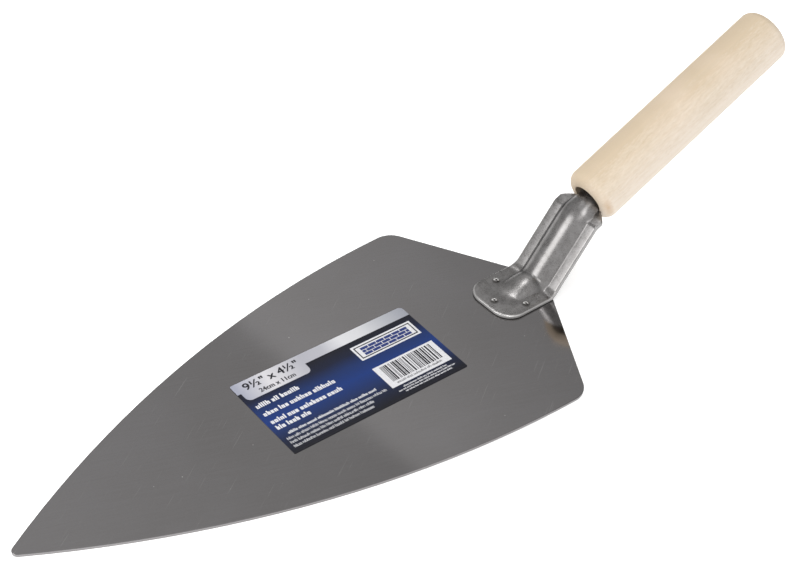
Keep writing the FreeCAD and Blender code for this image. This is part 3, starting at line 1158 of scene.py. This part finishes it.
@dataclass
class Label:
    """The adhesive label: a thin slab with layers of print on it."""

    centre: tuple[float, float] = (72.3, -0.3)
    base: float = 1.2
    thickness: float = 0.15
    length: float = 80.0
    width: float = 40.0
    skew: float = -1.5
    round_corner: float = 1.8
    layer: float = 0.012
    seed: int = 7

    def _to_frame(self) -> Matrix:
        """From the print's own axes, reading right and up, to the frame."""
        turn = Matrix.Rotation(math.radians(self.skew + 180), 4, "Z")
        return Matrix.Translation((self.centre[0], self.centre[1], 0)) @ turn

    def _height(self, layer: int) -> float:
        """Height of a layer of print."""
        return self.base + self.thickness + self.layer * layer

    def _patch(self, shape: bmesh.types.BMesh, box: tuple[float, float, float, float],
               layer: int, ink: int, rounds: Sequence[float] = (0, 0, 0, 0)) -> None:
        """Adds a flat patch of print.

        Args:
            shape: the bmesh of the print.
            box: left, top, right and bottom, from the label's top left corner.
            layer: how many layers up it lies.
            ink: the finish's number.
            rounds: the radius at top left, top right, bottom right and bottom left.
        """
        left, top, right, bottom = box
        middle = Vector(((left + right) / 2 - self.length / 2,
                         self.width / 2 - (top + bottom) / 2, self._height(layer)))
        size = Matrix.Diagonal((right - left, bottom - top, 1, 1))
        made = bmesh.ops.create_grid(shape, x_segments=1, y_segments=1, size=0.5,
                                     matrix=Matrix.Translation(middle) @ size)
        verts = made["verts"]
        face = verts[0].link_faces[0]
        face.material_index = ink
        for vert in verts:
            is_right = vert.co.x > middle.x
            is_low = vert.co.y < middle.y
            amount = rounds[(2 if is_low else 1) if is_right else (3 if is_low else 0)]
            if amount > 0:
                bmesh.ops.bevel(shape, geom=[vert], offset=amount, segments=8, profile=0.5,
                                affect="VERTICES", material=-1)

    def _slab(self) -> bmesh.types.BMesh:
        """The label itself, with its blue face.

        Returns:
            The slab.
        """
        shape = bmesh.new()
        corner = self.round_corner
        self._patch(shape, (0, 0, self.length, self.width), 0, 0, (0.6, corner, 0.6, 0.6))
        made = bmesh.ops.extrude_face_region(shape, geom=shape.faces[:])["geom"]
        lower = [item for item in made if isinstance(item, bmesh.types.BMVert)]
        bmesh.ops.translate(shape, vec=(0, 0, -self.thickness), verts=lower)
        bmesh.ops.recalc_face_normals(shape, faces=shape.faces)
        return shape

    def _words(self, shape: bmesh.types.BMesh, start: float, top: float, end: float,
               height: float, layer: int, ink: int, rng: random.Random, bold: float) -> None:
        """Fills a line with strokes that suggest small print and spell nothing.

        Args:
            shape: the bmesh of the print.
            start: the line's left end.
            top: the line's top.
            end: the line's right end.
            height: the height of its tall strokes.
            layer: the layer of print.
            ink: the finish's number.
            rng: the source of the strokes.
            bold: the strokes' width as a share of the height.
        """
        stroke = height * bold
        middle = top + height * 0.32
        low = top + height
        place = start
        while place < end - height:
            for _ in range(rng.randint(3, 8)):
                width = height * rng.uniform(0.52, 0.66)
                if place + width > end:
                    break
                glyph = rng.choice(tuple(Stroke))
                high = top if glyph in (Stroke.TALL, Stroke.STEM) else middle
                self._patch(shape, (place, high, place + stroke, low), layer, ink)
                if glyph is Stroke.STEM:
                    place += stroke + height * 0.13
                    continue
                right = place + width
                self._patch(shape, (right - stroke, middle, right, low), layer, ink)
                if glyph is not Stroke.OPEN_TOP:
                    self._patch(shape, (place + stroke, middle, right - stroke,
                                        middle + stroke * 0.7), layer, ink)
                if glyph in (Stroke.OPEN_TOP, Stroke.ROUND):
                    self._patch(shape, (place + stroke, low - stroke * 0.7, right - stroke, low),
                                layer, ink)
                place = right + height * 0.13
            place += height * 0.34

    def _numerals(self, text: str, left: float, base: float, height: float, bold: float,
                  ink: int, shape: bmesh.types.BMesh, width: float) -> None:
        """Adds a size marking as flat letters.

        Args:
            text: the marking.
            left: its left end.
            base: its base line, from the label's top.
            height: the height of a numeral.
            bold: how far the strokes are thickened to each side.
            ink: the finish's number.
            shape: the bmesh of the print.
            width: the marking's whole width.
        """
        curve = bpy.data.curves.new("size_mark", "FONT")
        curve.body = text
        holder = add_object("size_mark", curve)
        bpy.context.view_layer.update()
        mesh = bpy.data.meshes.new_from_object(holder)
        xs = [vert.co.x for vert in mesh.vertices]
        ys = [vert.co.y for vert in mesh.vertices]
        fit = Matrix.Diagonal(((width - 2 * bold) / (max(xs) - min(xs)), height / max(ys), 1, 1))
        mesh.transform(Matrix.Translation((left + bold - self.length / 2,
                                           self.width / 2 - base, self._height(2)))
                       @ fit @ Matrix.Translation((-min(xs), 0, 0)))
        bpy.data.objects.remove(holder)
        bpy.data.curves.remove(curve)
        shifts = ((0, 0), (-bold, 0), (bold, 0), (0, bold / 2), (0, -bold / 2))
        for step, (across, down) in enumerate(shifts):
            before = len(shape.faces)
            first = len(shape.verts)
            shape.from_mesh(mesh)
            shape.faces.ensure_lookup_table()
            shape.verts.ensure_lookup_table()
            bmesh.ops.translate(shape, vec=(across, down, self.layer * 0.3 * step),
                                verts=shape.verts[first:])
            for face in shape.faces[before:]:
                face.material_index = ink
        bpy.data.meshes.remove(mesh)

    def build(self) -> bpy.types.Object:
        """Makes the slab and prints it.

        Returns:
            The printed label.
        """
        rng = random.Random(self.seed)
        foil, white, black, blue = range(1, 5)
        shape = self._slab()
        self._patch(shape, (0.02, 0.02, 79.98, 5.3), 1, foil, (0.6, self.round_corner, 0, 0))
        self._patch(shape, (1.5, 5.3, 30.2, 10.0), 1, foil, (0, 0, 2.2, 2.2))
        self._numerals("9½\" x 4½\"", 4.0, 4.9, 3.5, 0.14, black, shape, 24.2)
        self._numerals("24cm x 11cm", 8.1, 8.6, 2.0, 0.10, black, shape, 15.8)
        for top, end in ((12.7, 21.5), (17.3, 34.1), (21.8, 36.2), (25.2, 17.0)):
            self._words(shape, 2.0, top, end, 2.2, 1, white, rng, 0.27)
        self._words(shape, 4.1, 29.8, 44.2, 1.3, 1, white, rng, 0.24)
        for top, end in ((32.1, 47.2), (34.2, 39.8), (36.3, 38.0)):
            self._words(shape, 2.0, top, end, 1.3, 1, white, rng, 0.16)
        self._badge(shape, white, black, blue)
        self._bars(shape, white, black, rng)
        for top, start, end in ((34.5, 53.0, 74.4), (35.7, 50.0, 77.0), (36.9, 52.2, 75.4)):
            self._words(shape, start, top, end, 0.8, 1, white, rng, 0.22)
        bmesh.ops.transform(shape, matrix=self._to_frame(), verts=shape.verts)
        print_place = (self.centre[0], self.centre[1], 0.0)
        finishes = [
            LabelPanel("label_panel", print_place, self.skew, self.length, self.width),
            LabelFoil("label_foil", print_place, self.skew, self.length, self.width),
            PrintedInk("label_white", Ink.WHITE),
            PrintedInk("label_black", Ink.BLACK),
            PrintedInk("label_blue", Ink.BLUE),
        ]
        return show_piece("label_print", shape, finishes, "label", 30.0)

    def _badge(self, shape: bmesh.types.BMesh, white: int, black: int, blue: int) -> None:
        """Adds a white box with a line round it and a plain row of bricks in it.

        Args:
            shape: the bmesh of the print.
            white: the white ink's number.
            black: the black ink's number.
            blue: the blue ink's number.
        """
        self._patch(shape, (48.9, 8.0, 77.4, 16.0), 1, white)
        self._patch(shape, (49.8, 8.8, 76.5, 15.2), 2, black)
        self._patch(shape, (50.3, 9.3, 76.0, 14.7), 3, white)
        course = 1.28
        for row in range(3):
            top = 9.95 + row * (course + 0.24)
            left = 52.0
            end = 74.3
            brick = 3.5
            place = left - (brick + 0.3) / 2 * (row % 2)
            while place < end:
                start = max(place, left)
                stop = min(place + brick, end)
                if stop - start > 0.4:
                    self._patch(shape, (start, top, stop, top + course), 4, blue)
                place += brick + 0.3

    def _bars(self, shape: bmesh.types.BMesh, white: int, black: int, rng: random.Random) -> None:
        """Adds a white box with upright bars of mixed widths that hold no code.

        Args:
            shape: the bmesh of the print.
            white: the white ink's number.
            black: the black ink's number.
            rng: the source of the widths.
        """
        self._patch(shape, (49.0, 21.4, 77.6, 33.7), 1, white)
        place = 51.6
        while place < 75.2:
            width = rng.choice((0.26, 0.26, 0.48, 0.74))
            self._patch(shape, (place, 22.3, min(place + width, 75.4), 31.0), 2, black)
            place += width + rng.choice((0.24, 0.28, 0.44, 0.66))
        self._words(shape, 52.4, 31.5, 75.0, 1.1, 2, black, rng, 0.16)


# ---------------------------------------------------------------------------------------------
# Studio


@dataclass
class Softbox:
    """One rectangular light."""

    name: str
    place: tuple[float, float, float]
    target: tuple[float, float, float]
    size: tuple[float, float]
    power: float
    roll: float = 0.0

    def build(self) -> bpy.types.Object:
        """Makes the light, aimed at its target.

        Returns:
            The light.
        """
        light = bpy.data.lights.new(self.name, "AREA")
        light.shape = "RECTANGLE"
        light.size, light.size_y = self.size
        light.energy = self.power
        lamp = add_object(self.name, light)
        aim = (Vector(self.target) - Vector(self.place)).to_track_quat("-Z", "Y")
        roll = Matrix.Rotation(math.radians(self.roll), 4, "Z")
        lamp.matrix_world = Matrix.Translation(self.place) @ aim.to_matrix().to_4x4() @ roll
        lamp.visible_camera = False
        return lamp


@dataclass
class Studio:
    """Pale floor, pale surroundings and soft lights."""

    floor_size: float = 12.0
    sky: tuple[tuple[float, float], ...] = (
        (-1.0, 0.45), (-0.60, 0.27), (-0.48, 0.58), (-0.30, 0.76), (0.0, 0.68), (1.0, 0.80))
    sky_lean: float = 0.38
    lights: tuple[Softbox, ...] = (
        Softbox("camera_box", (0.36, 0.74, 1.25), (0.02, 0.0, 0.0), (0.6, 0.6), 4.2),
        Softbox("neck_box", (0.33, -0.078, 0.22), (-0.035, 0.0, 0.02), (0.24, 0.24), 0.66),
        Softbox("pad_box", (-0.074, -0.168, 0.576), (-0.008, 0.0, 0.004), (0.14, 0.14), 0.52),
        Softbox("blade_card", (-0.262, -0.235, 0.30), (-0.262, -0.235, 0.0), (0.284, 0.36), 0.086,
                3.1),
    )

    def build(self) -> None:
        """Makes the world, the floor and the lights."""
        world = bpy.data.worlds.new("studio")
        world.use_nodes = True
        sheet = Sheet(world.node_tree)
        toward = sheet.node("ShaderNodeTexCoord").outputs["Generated"]
        along, aside, _ = sheet.axes(toward)
        stops = [((place + 1) / 2, (level, level, level)) for place, level in self.sky]
        shade = sheet.ramp(along.within(-1.0, 1.0), stops)
        lean = (aside + 0.53) * self.sky_lean + 1.0
        glow = sheet.node("ShaderNodeBackground", None, {0: shade, 1: lean})
        sheet.node("ShaderNodeOutputWorld", None, {0: glow.outputs[0]})
        bpy.context.scene.world = world
        shape = bmesh.new()
        bmesh.ops.create_grid(shape, x_segments=4, y_segments=4, size=self.floor_size / 2)
        mesh = bpy.data.meshes.new("floor")
        shape.to_mesh(mesh)
        shape.free()
        mesh.materials.append(StudioPaper("studio_paper").material())
        add_object("floor", mesh)
        for light in self.lights:
            light.build()


@dataclass
class Viewpoint:
    """The camera, given by the direction it looks from."""

    target: tuple[float, float, float] = (0.02312, -0.02956, 0.0012)
    azimuth: float = 135.09
    elevation: float = 40.10
    roll: float = 6.63
    distance: float = 0.6522
    lens: float = 74.78

    def build(self) -> bpy.types.Object:
        """Makes the camera and gives it to the scene.

        Returns:
            The camera.
        """
        azimuth, elevation, roll = (math.radians(angle) for angle in
                                    (self.azimuth, self.elevation, self.roll))
        back = Vector((math.sin(azimuth) * math.cos(elevation),
                       -math.cos(azimuth) * math.cos(elevation), math.sin(elevation)))
        right = Vector((math.cos(azimuth), math.sin(azimuth), 0))
        up = back.cross(right)
        turned_right = math.cos(roll) * right + math.sin(roll) * up
        turned_up = math.cos(roll) * up - math.sin(roll) * right
        camera = bpy.data.cameras.new("camera")
        camera.sensor_width = 36.0
        camera.lens = self.lens
        camera.clip_start = 0.01
        camera.clip_end = 50.0
        holder = add_object("camera", camera)
        pose = Matrix((turned_right, turned_up, back)).transposed().to_4x4()
        pose.translation = Vector(self.target) + back * self.distance
        holder.matrix_world = pose
        bpy.context.scene.camera = holder
        return holder


def main() -> None:
    """Builds the trowel's looks and the studio round it."""
    logging.basicConfig(level=logging.INFO, format="%(name)s %(message)s")
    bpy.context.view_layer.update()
    Viewpoint().build()
    Studio().build()
    bpy.context.scene.view_settings.view_transform = "Standard"
    welds = SpotWelds()
    Blade().build()
    steel = StampedSteel("shank_steel", welds=tuple(welds.places.values()))
    shank = Shank(finish=steel)
    shank.build()
    welds.build()
    Handle(front=shank.landmarks()["handle_front"]).build()
    Label().build()


if __name__ == "__main__":
    main()
